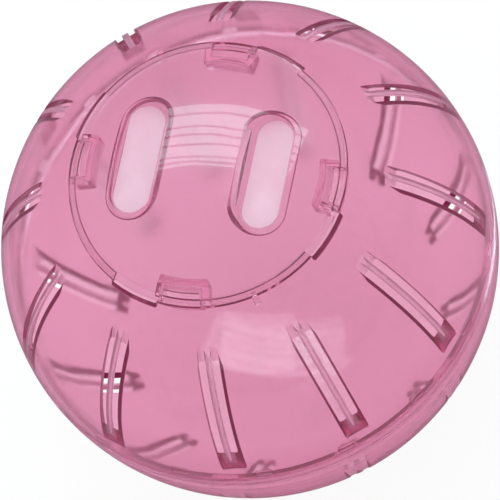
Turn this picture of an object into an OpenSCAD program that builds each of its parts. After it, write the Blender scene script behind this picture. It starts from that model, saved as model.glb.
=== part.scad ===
// Run-about ball for a hamster: two snap-together halves and a quarter-turn door.
// The origin is the centre of the ball, and +Z runs through the middle of the door.
// Angles about Z are counted anticlockwise as seen from outside the door.

/* [Ball] */
// Outer radius of the ball
ball_r = 89; // [80:1:110]
// Thickness of the moulded wall
wall_t = 2.8; // [2.4:0.1:3.4]
// Sides of a full circle, for the preview only
facets = 192; // [96:24:288]

/* [Equator joint] */
// Height of the rear half's lip above the parting line
lip_h = 4.8; // [3:0.1:7]
// Thickness of the lip
lip_t = 1.9; // [1.4:0.1:2.6]
// Depth of the rebate that the lip sits in, outwards from the inner surface
rebate_depth = 0.4; // [0.3:0.05:0.8]
// Gap all round between the lip and its rebate
lip_gap = 0.1; // [0.05:0.01:0.2]
// Gap left open at the parting line, and between the lip and its stop ribs
parting_gap = 0.1; // [0.05:0.05:0.3]
// Length of the tapered root that carries the lip
root_h = 6; // [4:0.5:10]
// Number of stop ribs above the lip
rib_count = 18; // [6:1:24]
// Width of a stop rib
rib_w = 6; // [3:0.5:8]
// Height of a stop rib
rib_h = 3.3; // [2:0.1:5]
// How far a stop rib stands in from the inner surface
rib_t = 1.2; // [0.8:0.1:1.8]
// Angle of the first stop rib
rib_first = 6; // [0:1:19]

/* [Vent slots] */
// Number of vent slots in each half
slot_count = 12; // [6:1:14]
// How far a slot's upright end wall lies inside the ball's outline, seen along the axis
slot_end_in = 3.8; // [3.2:0.1:8]
// Length of a slot, seen along the axis
slot_l = 24.3; // [18:0.1:26]
// How far the sloping end of a slot runs out through the wall
slot_ramp = 2.5; // [1.5:0.1:8]
// Width of a slot at the outer surface
slot_w = 7.2; // [5:0.1:9]
// Widening of a slot from the outer surface to the inner surface
slot_flare = 1.6; // [0.4:0.1:2.4]
// Width of the bar down the middle of a slot
bar_w = 2.6; // [2:0.1:3.4]
// Width of the bar's blunt inner edge
bar_edge_w = 0.9; // [0.6:0.1:1.4]
// Depth of the bar
bar_d = 1.7; // [1.2:0.1:2.2]
// How far the rear half is turned against the front half
rear_turn = 4.3; // [0:0.1:15]

/* [Door opening] */
// Radius of the recess that the door's rim sits in
seat_r = 49; // [46:0.1:54]
// Width of the ledge inside the recess
ledge_w = 2.7; // [2:0.1:4]
// Depth of the ledge below the outer surface
seat_d = 1.6; // [1.2:0.1:2]
// Number of lugs on the door, and of notches in the ledge
lug_count = 4; // [2:1:4]
// Half of the angle of a notch
notch_half = 11; // [10.5:0.25:13]
// How far a notch reaches past the recess
notch_reach = 0.8; // [0.4:0.1:1.6]
// Angle of the first of the two stops
stop_angle = 141.5; // [139:0.5:143]
// Half of the angle of a stop
stop_half = 1.25; // [0.75:0.25:1.5]
// How far a stop reaches past the recess
stop_reach = 1.7; // [1:0.1:3]

/* [Door] */
// Gap around the door's rim
rim_gap = 0.3; // [0.2:0.05:0.5]
// Gap between the door's rim and the ledge below it
seat_gap = 0.2; // [0.15:0.05:0.4]
// Angle from a notch to the lug, with the door turned shut
lug_angle = 21; // [20:0.5:24]
// Half of the angle of a lug's foot
foot_half = 9.25; // [7:0.25:9.5]
// Gap between the rim of the foot and the wall above it
foot_gap = 0.35; // [0.25:0.05:0.6]
// Thickness of the foot
foot_t = 1.9; // [1.4:0.1:2.4]
// Gap between the end of the foot and the radius of the recess
foot_short = 0.5; // [0.3:0.1:1]
// Half of the angle of the box that carries the foot
box_half = 12; // [11:0.25:13]
// How far the box reaches in from the inside of the ledge
box_l = 6.4; // [5:0.1:9]
// Thickness of the box's walls
box_t = 2; // [1.4:0.1:2.6]
// How far the window above the foot reaches in from the door's rim
window_l = 3.9; // [3.3:0.1:4.7]
// Angle of the box's cheek beside the window
cheek = 3.25; // [2.5:0.25:4]
// Width of the small slot beside each window
relief_w = 1.6; // [1:0.1:2]
// Length of the small slot
relief_l = 4; // [2:0.1:5]
// Depth of the small slot
relief_d = 3.6; // [3:0.1:5]

/* [Finger pockets] */
// Distance from the axis to the middle of a pocket
pocket_off = 23.1; // [20:0.1:24]
// Angle of the line through the two pockets
pocket_angle = 20.2; // [0:0.2:90]
// Width of a pocket at its mouth
pocket_w = 17.5; // [15:0.5:19]
// Straight length between a pocket's round ends
pocket_run = 27; // [20:0.5:30]
// Width of a pocket's flat floor
floor_w = 13; // [10:0.5:14]
// Depth of a pocket's floor below the top of the ball
floor_d = 8.9; // [7:0.1:10]
// Thickness of plastic under the floor and beside the walls
pocket_t = 2; // [1.6:0.1:3]

/* [Hidden] */
$fn = facets;
inner_r = ball_r - wall_t;
overrun = 2 * wall_t;
half_turn = 180;
full_turn = 360;
pink = [0.9, 0.42, 0.62, 0.6];
pink_door = [0.93, 0.5, 0.68, 0.6];
slot_out_r = ball_r - slot_end_in;
slot_in_r = slot_out_r - slot_l;
rebate_r = inner_r + rebate_depth;
lip_r = rebate_r - lip_gap;
rim_r = seat_r - rim_gap;
ledge_bore_r = seat_r - ledge_w;
plug_r = ledge_bore_r - rim_gap;
box_in_r = plug_r - box_l;
window_in_r = rim_r - window_l;
window_half = box_half - cheek;
seat_ball_r = ball_r - seat_d;
flange_t = seat_d - seat_gap;
foot_r = seat_r - foot_short;
foot_top_z = sphere_z(inner_r, foot_r) - foot_gap;
foot_bottom_z = foot_top_z - foot_t;
floor_z = ball_r - floor_d;
middle_t = wall_t / 2;

// Height of a sphere's surface at a distance from the axis
function sphere_z(sphere_r, axis_r) = sqrt(sphere_r * sphere_r - axis_r * axis_r);

// Half of a sphere above the parting plane
module dome(dome_r) {
    rotate_extrude()
        intersection() {
            circle(r = dome_r);
            square([dome_r + overrun, dome_r + overrun]);
        }
}

// Piece of a ring about the Z axis, between two radii, two heights and two angles
module sector(r_in, r_out, z_low, z_high, middle, half) {
    rotate(middle - half)
        rotate_extrude(angle = 2 * half)
            translate([r_in, z_low])
                square([r_out - r_in, z_high - z_low]);
}

// Copies its children evenly around the axis, starting at an angle
module around(count, first) {
    for (i = [0 : count - 1]) rotate(first + i * full_turn / count) children();
}

// Ring that follows the meridian over the X axis, with a section given in radius and width
module meridian_ring(section) {
    rotate([half_turn / 2, 0, 0])
        rotate_extrude()
            polygon(section);
}

// Outline of a slot seen from the side: the slope near the pole, then the upright end wall
module slot_side() {
    slope_z = sphere_z(ball_r, slot_in_r);
    run_r = slot_in_r + slot_ramp;
    run_z = sphere_z(inner_r, run_r);
    lead = overrun / (slope_z - run_z);
    rotate([half_turn / 2, 0, 0])
        linear_extrude(height = slot_w + slot_flare + overrun, center = true)
            polygon([
                [slot_in_r - slot_ramp * lead, slope_z + overrun],
                [slot_in_r, slope_z],
                [run_r, run_z],
                [run_r, 0],
                [slot_out_r, 0],
                [slot_out_r, slope_z + overrun]
            ]);
}

// Cut for one vent slot, over the X axis, leaving its middle bar
module vent_slot() {
    half_out = slot_w / 2;
    half_in = (slot_w + slot_flare) / 2;
    splay = (half_in - half_out) / wall_t;
    bar_splay = (bar_w - bar_edge_w) / 2 / bar_d;
    difference() {
        intersection() {
            slot_side();
            meridian_ring([
                [inner_r - overrun, -half_in - splay * overrun],
                [ball_r + wall_t, -half_out + splay * wall_t],
                [ball_r + wall_t, half_out - splay * wall_t],
                [inner_r - overrun, half_in + splay * overrun]
            ]);
        }
        meridian_ring([
            [ball_r - bar_d, -bar_edge_w / 2],
            [ball_r + overrun, -bar_w / 2 - bar_splay * overrun],
            [ball_r + overrun, bar_w / 2 + bar_splay * overrun],
            [ball_r - bar_d, bar_edge_w / 2]
        ]);
    }
}

// Plain half shell with its ring of vent slots
module slotted_shell() {
    difference() {
        dome(ball_r);
        dome(inner_r);
        around(slot_count, 0) vent_slot();
    }
}

// Ledge, recess and notches of the door's opening, as one cut
module door_opening() {
    translate([0, 0, ball_r / 2]) cylinder(r = ledge_bore_r, h = ball_r);
    rotate_extrude()
        difference() {
            translate([0, ball_r / 2]) square([seat_r, ball_r]);
            circle(r = seat_ball_r);
        }
    around(lug_count, 0)
        sector(box_in_r, seat_r + notch_reach, ball_r / 2, ball_r + overrun, 0, notch_half);
}

// Stops under the ledge that the door's feet turn against
module door_stops() {
    stop_top_z = sphere_z(ball_r, seat_r + stop_reach) - middle_t;
    around(2, stop_angle)
        sector(ledge_bore_r + rim_gap, seat_r + stop_reach, foot_bottom_z, stop_top_z, 0, stop_half);
}

// Front half: slots, the door's opening, and the rebate that takes the rear half's lip
module front_half() {
    rib_low_z = lip_h + parting_gap;
    rebate_top_z = lip_h + 3 * parting_gap;
    color(pink) {
        difference() {
            slotted_shell();
            translate([0, 0, -overrun]) cylinder(r = rebate_r, h = overrun + rebate_top_z);
            door_opening();
        }
        door_stops();
        intersection() {
            around(rib_count, rib_first)
                translate([inner_r - 2 * rib_t, -rib_w / 2, rib_low_z])
                    cube([2 * rib_t + middle_t, rib_w, rib_h]);
            difference() {
                sphere(r = inner_r + middle_t);
                sphere(r = inner_r - rib_t);
            }
        }
    }
}

// Rear half: the same slots, and the lip that pushes into the front half
module rear_half() {
    color(pink) {
        difference() {
            rotate([half_turn, 0, 0])
                rotate(rear_turn) slotted_shell();
            translate([0, 0, -parting_gap])
                cylinder(r = ball_r + overrun, h = ball_r);
        }
        rotate_extrude()
            polygon([
                [lip_r - lip_t, lip_h],
                [lip_r, lip_h],
                [lip_r, -parting_gap],
                [inner_r + middle_t, -parting_gap],
                [sphere_z(inner_r + middle_t, root_h), -root_h],
                [sphere_z(inner_r, root_h) - parting_gap, -root_h],
                [lip_r - lip_t, -lip_t]
            ]);
    }
}

// Drafted pocket shape with round ends, along the Y axis and from the floor's height up
module pocket_shape(bottom_w, top_w, low_z, high_z) {
    for (side = [-1, 1])
        translate([0, side * pocket_run / 2, low_z])
            cylinder(r1 = bottom_w / 2, r2 = top_w / 2, h = high_z - low_z);
    rotate([half_turn / 2, 0, 0])
        linear_extrude(height = pocket_run, center = true)
            polygon([
                [-bottom_w / 2, low_z],
                [bottom_w / 2, low_z],
                [top_w / 2, high_z],
                [-top_w / 2, high_z]
            ]);
}

// The two pockets' places, one each side of the middle
module at_pockets() {
    for (side = [-1, 1])
        rotate(pocket_angle)
            translate([side * pocket_off, 0, 0]) children();
}

// Hook under one window: a box that hangs from the door, with a foot that reaches out
module hook() {
    difference() {
        intersection() {
            sector(box_in_r, plug_r, foot_bottom_z, ball_r, 0, box_half);
            sphere(r = ball_r - middle_t);
        }
        intersection() {
            sector(box_in_r + box_t, plug_r + overrun, foot_top_z, ball_r, 0, window_half);
            sphere(r = inner_r);
        }
    }
    sector(window_in_r, foot_r, foot_bottom_z, foot_top_z, 0, foot_half);
}

// Round door: flush cap, thin rim that rests on the ledge, four hooks and two finger pockets
module door() {
    mouth_z = sphere_z(ball_r, pocket_off);
    flare = (pocket_w - floor_w) / (mouth_z - floor_z);
    high_z = ball_r + overrun;
    top_w = floor_w + flare * (high_z - floor_z);
    color(pink_door)
        difference() {
            union() {
                rotate_extrude()
                    difference() {
                        intersection() {
                            circle(r = ball_r);
                            translate([0, ball_r / 2]) square([rim_r, ball_r]);
                        }
                        circle(r = inner_r);
                        translate([plug_r, 0])
                            intersection() {
                                square([ball_r, ball_r]);
                                translate([-plug_r, 0]) circle(r = ball_r - flange_t);
                            }
                    }
                around(lug_count, lug_angle) hook();
                intersection() {
                    at_pockets()
                        pocket_shape(floor_w + 2 * pocket_t, top_w + 2 * pocket_t,
                                     floor_z - pocket_t, high_z);
                    sphere(r = ball_r - middle_t);
                }
            }
            at_pockets() pocket_shape(floor_w, top_w, floor_z, high_z);
            around(lug_count, lug_angle)
                sector(window_in_r, rim_r + overrun, foot_top_z, ball_r, 0, window_half);
            around(lug_count, lug_angle) relief();
        }
}

// Small blind slot beside a window, on its clockwise side, that runs on through the rim
module relief() {
    relief_r = plug_r + ledge_w / 2 - relief_l;
    relief_z = sphere_z(ball_r, plug_r) - relief_d;
    rotate(-(box_half - cheek / 2))
        translate([relief_r, -relief_w / 2, relief_z])
            cube([relief_l, relief_w, ball_r - relief_z]);
}

front_half();
rear_half();
door();
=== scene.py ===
"""Looks of a run-about ball for a hamster: two vented half shells and a round bayonet door, in
clear pink plastic."""
import math

import bpy
import numpy as np
from mathutils import Matrix, Vector


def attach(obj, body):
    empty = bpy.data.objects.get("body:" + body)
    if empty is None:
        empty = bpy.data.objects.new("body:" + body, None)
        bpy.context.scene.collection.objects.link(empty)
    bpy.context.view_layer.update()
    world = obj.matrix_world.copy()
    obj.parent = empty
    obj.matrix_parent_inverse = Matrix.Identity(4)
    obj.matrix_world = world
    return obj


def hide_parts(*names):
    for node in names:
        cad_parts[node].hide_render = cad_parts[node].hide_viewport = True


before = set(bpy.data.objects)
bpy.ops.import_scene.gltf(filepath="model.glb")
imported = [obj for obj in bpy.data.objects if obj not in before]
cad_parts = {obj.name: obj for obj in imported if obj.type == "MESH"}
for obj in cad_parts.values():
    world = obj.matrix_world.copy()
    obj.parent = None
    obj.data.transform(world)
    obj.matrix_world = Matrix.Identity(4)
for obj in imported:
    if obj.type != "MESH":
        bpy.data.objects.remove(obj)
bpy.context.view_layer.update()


# Camera. A long lens looks down on the door from 1.9 m, 24 degrees off the ball's axis,
# with the ball filling the frame. The roll turns the picture as the photograph is turned.
mm = 0.001
ball_r = 89 * mm
camera_turn = math.radians(149.087)
camera_tilt = math.radians(24.056)
camera_roll = math.radians(-29.46)
camera_away = 21.41
outline_share = 249 / 500
frame_shift = (-0.0001, -0.0012)
sensor_wide = 36

camera_data = bpy.data.cameras.new("camera")
camera = bpy.data.objects.new("camera", camera_data)
bpy.context.scene.collection.objects.link(camera)
bpy.context.scene.camera = camera
toward = Vector((math.sin(camera_tilt) * math.cos(camera_turn),
                 math.sin(camera_tilt) * math.sin(camera_turn),
                 math.cos(camera_tilt)))
level_up = (Vector((0, 0, 1)) - toward * toward.z).normalized()
up = math.cos(camera_roll) * level_up + math.sin(camera_roll) * toward.cross(level_up)
side = up.cross(toward)
camera.matrix_world = Matrix((
    (side.x, up.x, toward.x, toward.x * camera_away * ball_r),
    (side.y, up.y, toward.y, toward.y * camera_away * ball_r),
    (side.z, up.z, toward.z, toward.z * camera_away * ball_r),
    (0, 0, 0, 1)))
camera_data.sensor_width = sensor_wide
camera_data.lens = sensor_wide * outline_share * math.sqrt(camera_away ** 2 - 1)
camera_data.shift_x, camera_data.shift_y = frame_shift
camera_data.clip_end = 100


# Clear pink plastic. Polystyrene, dyed in the mass and moulded to a gloss. The wall is a
# little wavy where it cooled, with flow lines from the gate and fine rub marks from use.
polished_depth = 0.15 * mm
refraction = 1.56
frosted_pink = (0.95, 0.60, 0.75, 1)
# Painted shade: the deep wine pink that the edge mask puts on the walls of cuts, in place of the
# shade that light caught inside the plastic gives them.
painted_wall_shade_pink = (0.42, 0.04, 0.17, 1)


class Link:
    """One output of a shader node. Sums and products with numbers or links add Math nodes."""

    def __init__(self, tree, socket=None):
        self.tree = tree
        self.socket = socket

    def node(self, kind, settings, inputs, output=0):
        """Adds a node of a kind: its settings first, then the values or links of its sockets."""
        made = self.tree.nodes.new(kind)
        for name, value in settings.items():
            if name == "stops":
                for stop, (place, shade) in zip(made.color_ramp.elements, value):
                    stop.position = place
                    stop.color = (shade, shade, shade, 1)
            else:
                setattr(made, name, value)
        for name, value in inputs.items():
            if isinstance(value, Link):
                self.tree.links.new(value.socket, made.inputs[name])
            else:
                made.inputs[name].default_value = value
        return None if output is None else Link(self.tree, made.outputs[output])

    def math(self, operation, first, second):
        return self.node("ShaderNodeMath", {"operation": operation}, {0: first, 1: second})

    def mixed(self, share, first, second):
        """Adds a mix of two colours: the first where share is 0, and the second where it is 1."""
        return self.node("ShaderNodeMix", {"data_type": "RGBA"},
                         {"Factor": share, "A": first, "B": second}, 2)

    def __add__(self, other):
        return self.math("ADD", self, other)

    def __radd__(self, other):
        return self.math("ADD", other, self)

    def __sub__(self, other):
        return self.math("SUBTRACT", self, other)

    def __rsub__(self, other):
        return self.math("SUBTRACT", other, self)

    def __mul__(self, other):
        return self.math("MULTIPLY", self, other)

    def __rmul__(self, other):
        return self.math("MULTIPLY", other, self)


def emptied(owner):
    """Clears the nodes of a material or a world, and gives a link that its own nodes start from."""
    owner.use_nodes = True
    owner.node_tree.nodes.clear()
    return Link(owner.node_tree)


def clear_plastic(name, pale, deep, cloud, absorbed, density, core_gloss):
    """Dyed clear plastic: the shade drifts between pale and deep, the surface waves, and a small
    share of the light is scattered by the dye itself, in the cloud colour. The outer sphere has
    the mould's polish, and all that lies deeper, on the core's side, is less smooth. Two
    attributes of the mesh change it. The frost attribute is 1 where the mould was matt, which is
    paler and scatters more, and a little below 0 where the plastic is clearer than elsewhere. The
    edge attribute marks painted shade: on the walls of cuts it mixes in a deep wine pink, in place
    of the shade that light caught inside the plastic gives them."""
    material = bpy.data.materials.new(name)
    start = emptied(material)
    place = start.node("ShaderNodeTexCoord", {}, {}, "Object")

    def noise(scale, detail, stretch=(1, 1, 1)):
        spread = start.node("ShaderNodeMapping", {}, {"Vector": place, "Scale": stretch})
        return start.node("ShaderNodeTexNoise", {},
                          {"Vector": spread, "Scale": scale, "Detail": detail, "Roughness": 0.5})

    drift = noise(scale=28, detail=2)
    rubbed = noise(scale=420, detail=4, stretch=(1, 1, 0.12))
    scuffs = start.node("ShaderNodeValToRGB", {"stops": [(0.52, 0), (0.74, 1)]}, {"Fac": rubbed})
    reach = start.node("ShaderNodeVectorMath", {"operation": "LENGTH"}, {0: place}, "Value")
    core_side = start.math("LESS_THAN", reach, ball_r - polished_depth)
    frost = start.node("ShaderNodeAttribute", {"attribute_name": "frost"}, {}, "Fac")
    edge = start.node("ShaderNodeAttribute", {"attribute_name": "edge"}, {}, "Fac")
    gloss = 0.02 + 0.05 * scuffs * drift + core_gloss * core_side + 0.15 * frost
    grains = noise(scale=260, detail=3)
    # On the walls of cuts the edge mask adds a large cloudy share, which is painted shade.
    scattered = 0.055 + 0.03 * scuffs + (0.22 + 0.3 * grains) * frost + 0.75 * edge
    swells = noise(scale=55, detail=1)
    flow_lines = noise(scale=150, detail=1, stretch=(1, 1, 0.5))
    waves = swells + 0.14 * flow_lines + 0.004 * noise(scale=1400, detail=2)
    surface = start.node("ShaderNodeBump", {}, {
        "Strength": 1 - 0.8 * core_side, "Distance": 0.1 * mm, "Height": waves})
    clear = start.node("ShaderNodeBsdfPrincipled", {}, {
        "Base Color": start.mixed(drift, pale, deep), "Roughness": gloss, "Normal": surface,
        "IOR": refraction, "Transmission Weight": 1.0})
    # Where the edge mask is 1, the cloudy share is painted shade in the deep wine pink.
    shade = start.mixed(edge, start.mixed(frost, cloud, frosted_pink), painted_wall_shade_pink)
    cloudy = start.node("ShaderNodeBsdfPrincipled", {}, {
        "Base Color": shade, "Roughness": 0.1, "Normal": surface, "IOR": refraction})
    plastic = start.node("ShaderNodeMixShader", {}, {0: scattered, 1: clear, 2: cloudy})
    dye = start.node("ShaderNodeVolumeAbsorption", {}, {"Color": absorbed, "Density": density})
    start.node("ShaderNodeOutputMaterial", {}, {"Surface": plastic, "Volume": dye}, None)
    return material


shell_plastic = clear_plastic(
    "clear pink shell plastic", pale=(0.99, 0.94, 0.965, 1), deep=(0.985, 0.92, 0.945, 1),
    cloud=(0.92, 0.33, 0.55, 1), absorbed=(0.92, 0.32, 0.60, 1), density=66, core_gloss=0.05)


# Front half. One injection moulding: a half sphere with a round opening for the door, twelve
# vents with a middle bar, a ledge with four notches, two stops, and a rebate at the equator.
wall = 2.8 * mm
inner_r = ball_r - wall
columns = 240
seat_r = 49 * mm
seat_ease = 0.3 * mm
bore_r = 46.3 * mm
bore_ease = 0.25 * mm
ledge_r = ball_r - 1.6 * mm
ledge_step_deg = 0.4
seat_clear_deg = 0.5
ledge_clear_deg = 0.3
beside_opening_deg = 34
rebate_r = 86.6 * mm
rebate_high = 5.1 * mm
rebate_ease = 0.2 * mm
rebate_root_r = 86.04 * mm
notch_angles = [0, 90, 180, 270]
notch_low = 69 * mm
notch_back_r = 49.9 * mm
notch_back_near = 0.3 * mm
notch_back_upright = 0.95
stop_angles = [141.5, 321.5]
rib_angles = 6 + 20 * np.arange(18)


def rounded(corners, radius, steps=5):
    """Polygon whose corners are arcs: each arc is the quadratic curve from a point one radius
    before a corner to a point one radius after it, with the corner as its middle control point."""
    corners = np.array(corners, float)
    radius = np.broadcast_to(np.array(radius, float), len(corners))[:, None, None]
    before, after = np.roll(corners, 1, 0) - corners, np.roll(corners, -1, 0) - corners
    before /= np.linalg.norm(before, axis=1)[:, None]
    after /= np.linalg.norm(after, axis=1)[:, None]
    t = np.linspace(0, 1, steps)[None, :, None]
    bend = ((1 - t) ** 2 * before[:, None] + t ** 2 * after[:, None]) * radius
    return (corners[:, None] + bend).reshape(-1, 2)


def arc(radius, start_deg, end_deg, step_deg=1.25):
    """Points on a meridian: (radius * sin t, radius * cos t) for t from start to end."""
    count = max(2, int(round(abs(end_deg - start_deg) / step_deg)) + 1)
    t = np.radians(np.linspace(start_deg, end_deg, count))
    return np.stack([radius * np.sin(t), radius * np.cos(t)], -1)


def arc_point(radius, deg):
    """First point of a meridian's arc that starts at an angle from the pole."""
    return arc(radius, deg, deg + 1)[0]


def angle_at(radius, axis_r):
    """Angle from the pole, in degrees, at which a circle of that radius is axis_r from the axis."""
    return math.degrees(math.asin(axis_r / radius))


def level_at(radius, axis_r):
    """Height of a sphere's surface at a distance from the axis: sqrt(radius^2 - axis_r^2)."""
    return math.sqrt(radius ** 2 - axis_r ** 2)


def eased(before, at, after, ease, steps=5):
    """Quadratic curve round a corner, from one ease before it to one ease after it."""
    before, at, after = (np.array(point, float) for point in (before, at, after))
    start = (before - at) / np.linalg.norm(before - at)
    end = (after - at) / np.linalg.norm(after - at)
    t = np.linspace(0, 1, steps)[:, None]
    return at + ease * ((1 - t) ** 2 * start + t ** 2 * end)


def revolved(profile):
    """Rings about Z: point (r, z) at angle a becomes (r cos a, r sin a, z)."""
    a = np.linspace(0, 2 * np.pi, columns, endpoint=False)
    r, z = profile[:, 0, None], profile[:, 1, None]
    return np.stack([r * np.cos(a), r * np.sin(a), z + 0 * a], -1)


def turned(points, angles_deg):
    """Copies of a stack of points, each turned about Z by one of the angles."""
    a = np.radians(np.array(angles_deg, float))[:, None, None]
    x, y, z = points[..., 0], points[..., 1], points[..., 2]
    return np.stack([x * np.cos(a) - y * np.sin(a), x * np.sin(a) + y * np.cos(a), z + 0 * a], -1)


def solid(name, lofts, joined=False):
    """Closed mesh from stacks of rings: quads join each ring to the next, and each end is either
    a fan of triangles about the ring's mean point or, if joined, the first ring again.
    The faces are turned outwards by the sign of the enclosed volume."""
    points, faces, offset = [], [], 0
    for rings in lofts:
        levels, count, _ = rings.shape
        index = np.arange(levels * count).reshape(levels, count)
        rows = np.vstack([index, index[:1]]) if joined else index
        low, high = rows[:-1], rows[1:]
        quads = np.stack([low, np.roll(low, -1, 1), np.roll(high, -1, 1), high], -1).reshape(-1, 4)
        stack, fans = rings.reshape(-1, 3), []
        if not joined:
            stack = np.vstack([stack, rings[0].mean(0), rings[-1].mean(0)])
            first, last = index[0], index[-1]
            fans = [np.stack([np.roll(first, -1), first, np.full(count, len(stack) - 2)], -1),
                    np.stack([last, np.roll(last, -1), np.full(count, len(stack) - 1)], -1)]
        triangles = np.vstack([quads[:, [0, 1, 2]], quads[:, [0, 2, 3]], *fans])
        a, b, c = (stack[triangles[:, k]] for k in range(3))
        order = -1 if np.einsum("ij,ij->i", a, np.cross(b, c)).sum() < 0 else 1
        for polygons in (quads, *fans):
            faces += (polygons[:, ::order] + offset).tolist()
        points.append(stack)
        offset += len(stack)
    mesh = bpy.data.meshes.new(name)
    mesh.from_pydata(np.vstack(points).tolist(), [], faces)
    piece = bpy.data.objects.new(name, mesh)
    bpy.context.scene.collection.objects.link(piece)
    return piece


def worked(piece, operation, name, rings, angles_deg):
    """Joins copies of a stack of rings, each turned about Z by one of the angles, to a piece, or
    cuts them out of it."""
    tool = solid(name, turned(rings[None], angles_deg))
    step = piece.modifiers.new("work", "BOOLEAN")
    step.operation = operation
    step.object = tool
    step.solver = "MANIFOLD"
    bpy.context.view_layer.update()
    shape = piece.evaluated_get(bpy.context.evaluated_depsgraph_get())
    mesh = bpy.data.meshes.new_from_object(shape)
    piece.modifiers.clear()
    piece.data = mesh
    bpy.data.objects.remove(tool)


def outlines(u_low, u_high, v_low, v_high, corner, long_steps, short_steps, turns=4):
    """Rounded rectangles, one for each level, as (u, v) points: four quarter circles, each
    corner's centre plus radius * (cos a, sin a), and straight sides split into equal steps."""
    u_low, u_high, v_low, v_high, corner = np.broadcast_arrays(
        u_low, u_high, v_low, v_high, corner)
    parts = []
    middles = [(u_high - corner, v_high - corner), (u_low + corner, v_high - corner),
               (u_low + corner, v_low + corner), (u_high - corner, v_low + corner)]
    quarters = []
    for k, (u, v) in enumerate(middles):
        a = np.linspace(k, k + 1, turns + 1) * np.pi / 2
        quarters.append(np.stack([u[:, None] + corner[:, None] * np.cos(a),
                                  v[:, None] + corner[:, None] * np.sin(a)], -1))
    for k, quarter in enumerate(quarters):
        following = quarters[(k + 1) % 4]
        t = np.linspace(0, 1, (long_steps, short_steps)[k % 2] + 1)[1:-1, None]
        parts += [quarter, quarter[:, -1:] * (1 - t) + following[:, :1] * t]
    return np.concatenate(parts, 1)


def block_rings(r_low, r_high, z_low, z_high, half_deg, ease, corner=0.8 * mm, ease_levels=5):
    """Rings of a block bent round the axis: rounded rectangles in (radius, arc) at each height,
    drawn in by ease * (1 - sin a) near its two ends, placed at (r cos p, r sin p, z)."""
    least_corner = 0.05 * mm
    a = np.radians(np.linspace(0, 90, ease_levels))
    inset = np.concatenate([ease * (1 - np.sin(a)), ease * (1 - np.sin(a[::-1]))])
    height = np.concatenate([z_low + ease * (1 - np.cos(a)),
                             z_high - ease * (1 - np.cos(a[::-1]))])
    middle = (r_low + r_high) / 2
    reach = math.radians(half_deg) * middle
    shape = outlines(r_low + inset, r_high - inset, -reach + inset, reach - inset,
                     np.maximum(corner - inset, least_corner), long_steps=6, short_steps=4)
    r, p = shape[..., 0], shape[..., 1] / middle
    return np.stack([r * np.cos(p), r * np.sin(p), height[:, None] + 0 * r], -1)


# Vents. Each is 24 mm long and 7.2 mm wide outside, wider inside so that the mould's core draws
# out, with a slope at the pole end, an upright wall at the equator end, and eased edges.
slot_out_r = 85.2 * mm
slot_in_deg = (43.18, 47.35)
slot_half = (3.6 * mm, 4.4 * mm)
slot_corner = 0.6 * mm
outer_ease = 0.2 * mm
inner_ease = 0.15 * mm
slot_pitch_deg = 30
slot_angles = np.arange(12) * slot_pitch_deg
steepest = 0.9999
bar_deg = (41.7, 79.5)
bar_half = (1.3 * mm, 0.45 * mm)
bar_deep = (0.02 * mm, 1.7 * mm)
bar_ease = (0.3 * mm, 0.25 * mm)
bar_levels = 32
bar_frost = 0.5


def eased_levels(top, bottom, top_ease, bottom_ease, tail=1 * mm, clear=6 * mm, arc_deg=70,
                 arc_levels=6):
    """Depths and offsets down a cut whose two edges are eased: an arc to arc_deg at each edge,
    ease * (1 - sin a) in and ease * (1 - cos a) out, then a straight tail on the arc's tangent,
    and clear of the wall on the outside, so that the cut's end lies above the curved wall."""
    a = np.radians(np.linspace(0, arc_deg, arc_levels))
    last = np.radians(arc_deg)
    tail_step = tail * np.array([np.cos(last), np.sin(last)])
    upper = np.stack([top - top_ease * (1 - np.sin(a)), top_ease * (1 - np.cos(a))], -1)
    lower = np.stack([bottom + bottom_ease * (1 - np.sin(a)), bottom_ease * (1 - np.cos(a))], -1)
    upper = np.vstack([upper, upper[-1] + tail_step, upper[-1] + tail_step + (clear, 0)])
    lower = np.vstack([lower, lower[-1] + tail_step * (-1, 1)])
    return np.vstack([upper[::-1], lower])


def slot_rings():
    """Rings of a vent's cut: a rounded rectangle in (angle from the pole, width) at each distance
    rho from the centre, placed at (q sin t, y, q cos t) with q = sqrt(rho^2 - y^2)."""
    rho, offset = eased_levels(ball_r, inner_r, outer_ease, inner_ease).T
    depth = (ball_r - rho) / wall
    half = slot_half[0] + (slot_half[1] - slot_half[0]) * depth
    low = np.radians(slot_in_deg[0] + (slot_in_deg[1] - slot_in_deg[0]) * depth) * ball_r
    shape = outlines(low - offset, slot_out_r + 0 * rho + offset, -half - offset, half + offset,
                     slot_corner + offset, long_steps=20, short_steps=4)
    u, y = shape[..., 0], shape[..., 1]
    q = np.sqrt(rho[:, None] ** 2 - y ** 2)
    near = low[:, None] - offset[:, None]
    far = slot_out_r + offset[:, None]
    share = (u - near) / (far - near)
    far_angle = np.arcsin(np.minimum(far / q, steepest))
    t = near / ball_r * (1 - share) + far_angle * share
    return np.stack([q * np.sin(t), y, q * np.cos(t)], -1)


def bar_rings():
    """Rings of a vent's bar: a blunt wedge, 2.6 mm wide outside and 0.9 mm inside, carried along
    the meridian as (rho sin t, y, rho cos t)."""
    t = np.radians(np.linspace(*bar_deg, bar_levels))[:, None]
    section = rounded([(-bar_half[0], ball_r - bar_deep[0]), (bar_half[0], ball_r - bar_deep[0]),
                       (bar_half[1], ball_r - bar_deep[1]), (-bar_half[1], ball_r - bar_deep[1])],
                      np.repeat(bar_ease, 2))
    y, rho = section[:, 0], section[:, 1]
    return np.stack([rho * np.sin(t), y + 0 * t, rho * np.cos(t)], -1)


def listed(parts, name, width=1, kind=float):
    """One property of all of a mesh's points, corners or faces, as an array with a row for each."""
    flat = np.empty(len(parts) * width, kind)
    parts.foreach_get(name, flat)
    return flat.reshape(-1, width) if width > 1 else flat


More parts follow.
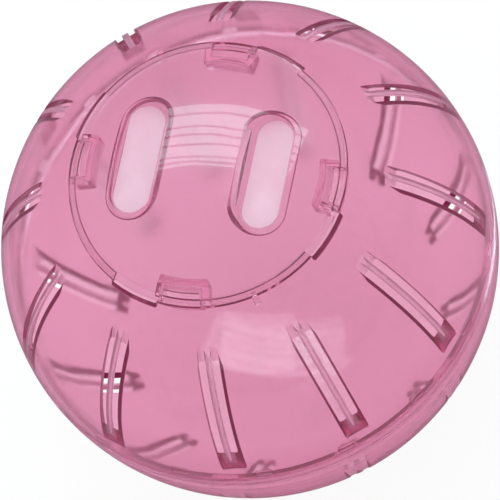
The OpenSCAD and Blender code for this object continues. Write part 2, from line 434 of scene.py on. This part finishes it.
def smooth(piece, sharp_deg=32, sphere_near=0.03 * mm, sphere_tilt_deg=4):
    """Soft shading with sharp edges past sharp_deg, and on the two spheres the exact normal,
    which is the direction from the ball's centre, so that no facet shows in the clear wall."""
    mesh = piece.data
    mesh.shade_smooth()
    mesh.set_sharp_from_angle(angle=math.radians(sharp_deg))
    mesh.update()
    normals = listed(mesh.corner_normals, "vector", 3)
    total = listed(mesh.polygons, "loop_total", kind=int)
    facing = np.repeat(listed(mesh.polygons, "normal", 3), total, 0)
    at = listed(mesh.vertices, "co", 3)[listed(mesh.loops, "vertex_index", kind=int)]
    distance = np.linalg.norm(at, axis=1)
    outward = at / distance[:, None]
    face = np.repeat(np.arange(len(total)), total)
    for radius, sign in ((ball_r, 1), (inner_r, -1)):
        off = np.abs(distance - radius) > sphere_near
        tilt_cos = sign * np.einsum("ij,ij->i", facing, outward)
        off |= tilt_cos < math.cos(math.radians(sphere_tilt_deg))
        touched = np.zeros(len(total), bool)
        np.logical_or.at(touched, face, off)
        on = ~touched[face]
        normals[on] = sign * outward[on]
    mesh.normals_split_custom_set(normals.tolist())
    mesh.materials.clear()


def write_frost_and_painted_shade(piece, frost, edge):
    """Writes the two masks to a piece, one number a face: the frost of the plastic's matt and
    clearer places, and the edge mask of painted shade.
    """
    for name, mask in (("frost", frost), ("edge", edge)):
        attribute = piece.data.attributes.new(name, "FLOAT", "FACE")
        attribute.data.foreach_set("value", mask.astype(float))


def vent_frost_and_painted_shade(piece, turn):
    """Masks of the vents in a shell, from each face's distance rho from the centre, its angle t
    from the pole, and its distance beside the nearest vent's middle. The bars are frosted, half
    as much as a pocket's floor, and the upright walls, which don't face along the radius, get the
    painted shade of the edge mask."""
    vent_deg = (42, 78)
    far_wall_deg = 71
    bar_reach = 1.35 * mm
    side_wall_from = 2.5 * mm
    off_sphere = 0.2 * mm
    under_surface = 0.01 * mm
    upright = 0.5
    half_pitch = slot_pitch_deg / 2
    middle = listed(piece.data.polygons, "center", 3)
    facing = listed(piece.data.polygons, "normal", 3)
    rho = np.linalg.norm(middle, axis=1)
    axis_r = np.hypot(middle[:, 0], middle[:, 1])
    t = np.degrees(np.arcsin(axis_r / rho))
    round_deg = np.degrees(np.arctan2(middle[:, 1], middle[:, 0])) + turn
    beside = np.abs(np.radians((round_deg + half_pitch) % slot_pitch_deg - half_pitch) * axis_r)
    along = np.abs(np.einsum("ij,ij->i", facing, middle)) / rho
    between = (rho > inner_r + off_sphere) & (rho < ball_r - under_surface)
    between &= (t > vent_deg[0]) & (t < vent_deg[1])
    bars = between & (beside < bar_reach)
    walls = between & (along < upright) & (rho < ball_r - off_sphere) & ~bars
    walls &= (beside > side_wall_from) | (t > far_wall_deg)
    return bar_frost * bars, walls.astype(float)


# A corner that is eased starts and ends a little along its two sides, so the arcs beside it stop
# short of it. A point further along a sphere gives that side's direction.
seat_top = (seat_r, level_at(ball_r, seat_r))
seat_foot = (seat_r, level_at(ledge_r, seat_r))
ledge_edge = (bore_r, level_at(ledge_r, bore_r))
bore_foot = (bore_r, level_at(inner_r, bore_r))
front_profile = np.vstack([
    arc(ball_r, 90, angle_at(ball_r, seat_r) + seat_clear_deg),
    eased(arc_point(ball_r, beside_opening_deg), seat_top, seat_foot, seat_ease),
    arc(ledge_r, angle_at(ledge_r, seat_r), angle_at(ledge_r, bore_r) + ledge_clear_deg,
        ledge_step_deg),
    eased(seat_foot, ledge_edge, bore_foot, bore_ease),
    eased(ledge_edge, bore_foot, arc_point(inner_r, beside_opening_deg), bore_ease),
    arc(inner_r, angle_at(inner_r, bore_r) + seat_clear_deg, angle_at(inner_r, rebate_root_r)),
    [(rebate_r - rebate_ease, rebate_high), (rebate_r, rebate_high - rebate_ease), (rebate_r, 0)]])
notch = block_rings(r_low=43 * mm, r_high=49.8 * mm, z_low=60 * mm, z_high=80 * mm,
                    half_deg=11, ease=0.2 * mm)
stop = block_rings(r_low=46.6 * mm, r_high=50.7 * mm, z_low=69 * mm, z_high=71.9 * mm,
                   half_deg=1.25, ease=0.3 * mm, corner=0.3 * mm)
rib = block_rings(r_low=85 * mm, r_high=86.9 * mm, z_low=4.9 * mm, z_high=8.2 * mm,
                  half_deg=2, ease=0.3 * mm, corner=0.4 * mm)
front_half = solid("front_shell", [revolved(front_profile)], joined=True)
worked(front_half, "DIFFERENCE", "vents", slot_rings(), slot_angles)
worked(front_half, "UNION", "bars", bar_rings(), slot_angles)
worked(front_half, "DIFFERENCE", "notches", notch, notch_angles)
worked(front_half, "UNION", "stops", stop, stop_angles)
worked(front_half, "UNION", "ribs", rib, rib_angles)
smooth(front_half)
bars, walls = vent_frost_and_painted_shade(front_half, 0)
middle = listed(front_half.data.polygons, "center", 3)
facing = listed(front_half.data.polygons, "normal", 3)
# The back walls of the notches join the edge mask: the shade in the gaps beside the door's rim is
# painted on them in the deep wine pink.
notch_backs = np.abs(np.hypot(middle[:, 0], middle[:, 1]) - notch_back_r) < notch_back_near
notch_backs &= (middle[:, 2] > notch_low) & (np.abs(facing[:, 2]) < notch_back_upright)
write_frost_and_painted_shade(front_half, bars, np.maximum(walls, notch_backs))
front_half.data.materials.append(shell_plastic)
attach(front_half, "front_half")
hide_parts("front_half")


# Rear half. The same half sphere without an opening, turned over and a little round, with a
# thin lip on a tapered root that pushes up into the front half's rebate. Its pole is closed by
# a fan of faces from half a degree out.
rear_turn = 4.3
rear_angles = -slot_angles - rear_turn
turned_over = (1, 1, -1)
pole_gap_deg = 0.5
parting_deg = 90.064
parting_z = -0.1 * mm
lip_out_r = 86.5 * mm
lip_in_r = 84.6 * mm
lip_high = 4.8 * mm
lip_ease = 0.3 * mm
root_deg = 94
root_z = -1.9 * mm
rear_profile = np.vstack([
    arc(ball_r, 180 - pole_gap_deg, parting_deg),
    [(lip_out_r, parting_z), (lip_out_r, lip_high - lip_ease), (lip_out_r - lip_ease, lip_high),
     (lip_in_r + lip_ease, lip_high), (lip_in_r, lip_high - lip_ease), (lip_in_r, root_z)],
    arc(inner_r, root_deg, 180 - pole_gap_deg)])
rear_half = solid("rear_shell", [revolved(rear_profile)])
worked(rear_half, "DIFFERENCE", "vents", slot_rings() * turned_over, rear_angles)
worked(rear_half, "UNION", "bars", bar_rings() * turned_over, rear_angles)
smooth(rear_half)
write_frost_and_painted_shade(rear_half, *vent_frost_and_painted_shade(rear_half, rear_turn))
rear_half.data.materials.append(shell_plastic)
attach(rear_half, "rear_half")
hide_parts("rear_half")


# Door. A round cap, flush with the ball, whose thin rim lies on the ledge. Four hooks hang under
# windows at its edge, their feet turned under the ledge, and two pockets take finger and thumb.
rim_r = 48.7 * mm
rim_ease = 0.3 * mm
rim_clear_deg = 0.4
beside_rim_deg = 32
plug_r = 46 * mm
plug_ease = (0.2 * mm, 0.3 * mm)
beside_plug_deg = 31
foot_low = 69.01 * mm
foot_high = 70.91 * mm
room_half_deg = 8.75
hook_angles = 21 + 90 * np.arange(4)
hook_in_r = 39 * mm
hook_under = 0.2 * mm
hook_frost = -0.15
relief_angles = hook_angles - 10.4
flange_r = ball_r - 1.4 * mm
flange_clear_deg = 0.3
rim_top = (rim_r, level_at(ball_r, rim_r))
rim_foot = (rim_r, level_at(flange_r, rim_r))
plug_top = (plug_r, level_at(flange_r, plug_r))
plug_foot = (plug_r, level_at(inner_r, plug_r))
door_profile = np.vstack([
    arc(ball_r, pole_gap_deg, angle_at(ball_r, rim_r) - rim_clear_deg),
    eased(arc_point(ball_r, beside_rim_deg), rim_top, rim_foot, rim_ease),
    eased(rim_top, rim_foot, plug_top, plug_ease[0]),
    arc(flange_r, angle_at(flange_r, rim_r) - flange_clear_deg, angle_at(flange_r, plug_r),
        ledge_step_deg),
    eased(plug_top, plug_foot, arc_point(inner_r, beside_plug_deg), plug_ease[1]),
    arc(inner_r, angle_at(inner_r, plug_r) - rim_clear_deg, pole_gap_deg)])
door = solid("door_cap", [revolved(door_profile)])

# A hook is a box with a room in it, open outwards, above a foot. The window over the foot is as
# wide at its own middle, 48.4 mm out, as the room is at 45.4 mm. The relief is the blind slot.
box = block_rings(r_low=39.6 * mm, r_high=plug_r, z_low=foot_low, z_high=76.2 * mm,
                  half_deg=12, ease=0.3 * mm, corner=0.6 * mm)
room = block_rings(r_low=41.6 * mm, r_high=plug_r + 2 * mm, z_low=foot_high, z_high=74.6 * mm,
                   half_deg=room_half_deg, ease=0.3 * mm, corner=0.5 * mm)
window = block_rings(r_low=44.8 * mm, r_high=52 * mm, z_low=foot_high, z_high=90 * mm,
                     half_deg=room_half_deg * 45.4 / 48.4, ease=0.2 * mm, corner=0.6 * mm)
foot = block_rings(r_low=43.5 * mm, r_high=48.5 * mm, z_low=foot_low, z_high=foot_high,
                   half_deg=9.25, ease=0.3 * mm, corner=0.5 * mm)
relief = block_rings(r_low=43.35 * mm, r_high=47.35 * mm, z_low=72.5 * mm, z_high=90 * mm,
                     half_deg=1.01, ease=0.1 * mm, corner=0.2 * mm)
worked(door, "UNION", "boxes", box, hook_angles)
worked(door, "DIFFERENCE", "rooms", room, hook_angles)
worked(door, "DIFFERENCE", "windows", window, hook_angles)
worked(door, "UNION", "feet", foot, hook_angles)
worked(door, "DIFFERENCE", "reliefs", relief, relief_angles)

# Pockets. Each is an oval cup with drafted walls 2 mm thick and a flat floor, moulded with the
# door, in which a finger turns it.
pocket_off = 23.1 * mm
pocket_angles = [20.2, 20.2 + 180]
pocket_floor_z = 80.1 * mm
pocket_floor_half = 6.5 * mm
pocket_run = 27 * mm
pocket_draft = 2.25 / 5.85
pocket_floor_near = 0.02 * mm
boss_thick = 2 * mm


def pocket_rings(half_floor, z_floor, z_top, floor_ease, reach=1, ease_levels=6, wall_levels=13):
    """Rings of a drafted pocket, long in Y: rounded rectangles whose corner is their half width,
    half_floor + draft * height wide, drawn in by an arc at the floor. A point further than reach
    from the ball's centre is brought back to it along its radius."""
    least_straight = 0.001 * mm
    a = np.radians(np.linspace(0, 90, ease_levels))
    rise = np.linspace(floor_ease, z_top - z_floor, wall_levels + 1)[1:]
    height = np.concatenate([floor_ease * (1 - np.cos(a)), rise])
    inset = np.concatenate([floor_ease * (1 - np.sin(a)), np.zeros(wall_levels)])
    half = half_floor + pocket_draft * height - inset
    shape = outlines(-half, half, -half - pocket_run / 2, half + pocket_run / 2,
                     half - least_straight, long_steps=2, short_steps=10, turns=14)
    x, y = shape[..., 0], shape[..., 1]
    rings = np.stack([x + pocket_off, y, z_floor + height[:, None] + 0 * x], -1)
    return rings * np.minimum(1, reach / np.linalg.norm(rings, axis=-1, keepdims=True))


boss = pocket_rings(pocket_floor_half + boss_thick, pocket_floor_z - boss_thick, z_top=84 * mm,
                    floor_ease=0.6 * mm, reach=ball_r - wall / 2)
pocket = pocket_rings(pocket_floor_half, pocket_floor_z, z_top=94 * mm, floor_ease=0.2 * mm)
worked(door, "UNION", "bosses", boss, pocket_angles)
worked(door, "DIFFERENCE", "pockets", pocket, pocket_angles)
smooth(door)
middle = listed(door.data.polygons, "center", 3)
axis_r = np.hypot(middle[:, 0], middle[:, 1])
floors = np.abs(middle[:, 2] - pocket_floor_z) < pocket_floor_near
hooks = (np.linalg.norm(middle, axis=1) < inner_r - hook_under) & (axis_r > hook_in_r)
write_frost_and_painted_shade(door, floors + hook_frost * hooks, np.zeros(len(hooks)))
door.data.materials.append(clear_plastic(
    "clear pink door plastic", pale=(0.99, 0.945, 0.97, 1), deep=(0.985, 0.925, 0.95, 1),
    cloud=(0.94, 0.36, 0.58, 1), absorbed=(0.92, 0.34, 0.61, 1), density=63, core_gloss=0.16))
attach(door, "door")
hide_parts("door")


# Floor. A sheet of pale paper under the ball, white to the camera. Seen through the ball it has a
# painted pink shadow, in place of the light that the ball's walls tint on its way down, and a
# painted shade that deepens it towards the picture's top and a little to its left, and fades out
# 0.27 m from the ball's middle. A small diffuse share keeps the ball's shadow.
floor_z = -89.2 * mm
floor_thick = 10 * mm
floor_half = 3
# Painted pink shadow: the tint that light takes through the ball's pink walls on its way down,
# given to the floor and the cyclorama where they are seen through the walls and in reflections.
painted_pink_shadow = (0.87, 0.51, 0.655)
# Painted shade: a deeper pink on the floor seen through the ball, towards the picture's top and a
# little to its left.
painted_deep_shade = (0.64, 0.27, 0.39)
paper_white = (1, 1, 1, 1)
shadow_pink = (*(0.3 * shade for shade in painted_pink_shadow), 1)
shadow_white = (0.1, 0.1, 0.1, 1)
painted_shade_way = (0.97 * up - 0.2 * side) / ball_r


def ray_links(tree_link, *kinds):
    """One Light Path node, and for each kind of ray a link that is 1 on such rays, else 0."""
    path = tree_link.node("ShaderNodeLightPath", {}, {}).socket.node
    return [Link(tree_link.tree, path.outputs[f"Is {kind} Ray"]) for kind in kinds]


floor_corners = [(-floor_half, -floor_half), (floor_half, -floor_half),
                 (floor_half, floor_half), (-floor_half, floor_half)]
floor = solid("floor", [np.array([[(x, y, z) for x, y in floor_corners]
                                  for z in (floor_z - floor_thick, floor_z)])])
floor_paint = bpy.data.materials.new("pale floor paper")
paint = emptied(floor_paint)
seen, through, mirrored = ray_links(paint, "Camera", "Transmission", "Glossy")
place = paint.node("ShaderNodeTexCoord", {}, {}, "Object")
height = paint.node("ShaderNodeVectorMath", {"operation": "DOT_PRODUCT"},
                    {0: place, 1: tuple(painted_shade_way)}, "Value")
apart = paint.node("ShaderNodeVectorMath", {"operation": "LENGTH"}, {0: place}, "Value")
# Painted shade on the floor: the share of the deeper pink grows along the camera's up and a little
# to its left, and fades to nothing 0.27 m from the ball's middle.
deeper = height * (0.4 + 0.6 * height) * (1.9 - 7 * apart)
tone = paint.mixed(seen, paint.mixed(deeper, (*painted_pink_shadow, 1), (*painted_deep_shade, 1)), paper_white)
glow = paint.node("ShaderNodeEmission", {}, {
    "Color": tone, "Strength": 0.9 * seen + 0.7 * through + 0.15 * mirrored})
matt = paint.node("ShaderNodeBsdfDiffuse", {}, {"Color": shadow_pink})
white = paint.node("ShaderNodeBsdfDiffuse", {}, {"Color": shadow_white})
sheet = paint.node("ShaderNodeMixShader", {}, {0: seen, 1: matt, 2: white})
both = paint.node("ShaderNodeAddShader", {}, {0: glow, 1: sheet})
paint.node("ShaderNodeOutputMaterial", {}, {"Surface": both}, None)
floor.data.materials.append(floor_paint)


# Studio light. A cyclorama, white to the camera and in what it lights, pink through the clear
# walls and in reflections, where it is dimmer. A bank of seven strip lamps hangs above, and two
# plain soft boxes stand low in front and high behind.
world = bpy.data.worlds.new("studio")
bpy.context.scene.world = world
air = emptied(world)
seen, through, scattered = ray_links(air, "Camera", "Transmission", "Diffuse")
brightness = 0.32 + 0.68 * air.math("MAXIMUM", seen, through) + 0.55 * scattered
# Seen through the clear walls and in reflections, the cyclorama has the floor's painted pink shadow
# tone.
tone = air.mixed(air.math("MAXIMUM", seen, scattered), (*painted_pink_shadow, 1), paper_white)
sky = air.node("ShaderNodeBackground", {}, {"Color": tone, "Strength": brightness})
air.node("ShaderNodeOutputWorld", {}, {"Surface": sky}, None)

lamp_away = 1.2
strip_gap = 0.012
strip_ends = np.array([-0.385, -0.335, -0.280, -0.153, -0.058, 0.028, 0.175, 0.290])


def soft_box(name, direction, width, height, radiance, shade=(1, 1, 1), lift=0):
    """Area lamp in a direction given in the camera's axes, aimed at the ball, with its width
    square to the camera's up, and moved up its own plane by lift. Its power is radiance * area *
    pi, so that the number is how bright it looks in a mirror."""
    lamp = bpy.data.lights.new(name, "AREA")
    lamp.shape = "RECTANGLE"
    lamp.size, lamp.size_y = width, height
    lamp.energy = radiance * width * height * math.pi
    lamp.color = shade
    holder = bpy.data.objects.new(name, lamp)
    bpy.context.scene.collection.objects.link(holder)
    behind = (direction[0] * side + direction[1] * up + direction[2] * toward).normalized()
    across = up.cross(behind).normalized()
    upright = behind.cross(across)
    place = behind * lamp_away + upright * lift
    holder.matrix_world = Matrix((
        (across.x, upright.x, behind.x, place.x),
        (across.y, upright.y, behind.y, place.y),
        (across.z, upright.z, behind.z, place.z),
        (0, 0, 0, 1)))


for strip, (low, high) in enumerate(zip(strip_ends[:-1] + strip_gap, strip_ends[1:] - strip_gap)):
    soft_box(f"top_strip_{strip}", (-0.19, 0.806, 0.56), width=1.5, height=high - low,
             radiance=3.25, shade=(0.56, 1, 0.93), lift=(low + high) / 2)
soft_box("low_box", (0.06, -0.675, 0.735), width=0.65, height=0.6, radiance=0.8)
soft_box("far_box", (0.43, 0.535, -0.726), width=0.5, height=0.35, radiance=2)

# Light crosses many clear walls, so it may bounce more often than usual.
bpy.context.scene.view_settings.view_transform = "Standard"
bpy.context.scene.cycles.max_bounces = 24
bpy.context.scene.cycles.glossy_bounces = 16
bpy.context.scene.cycles.transmission_bounces = 24
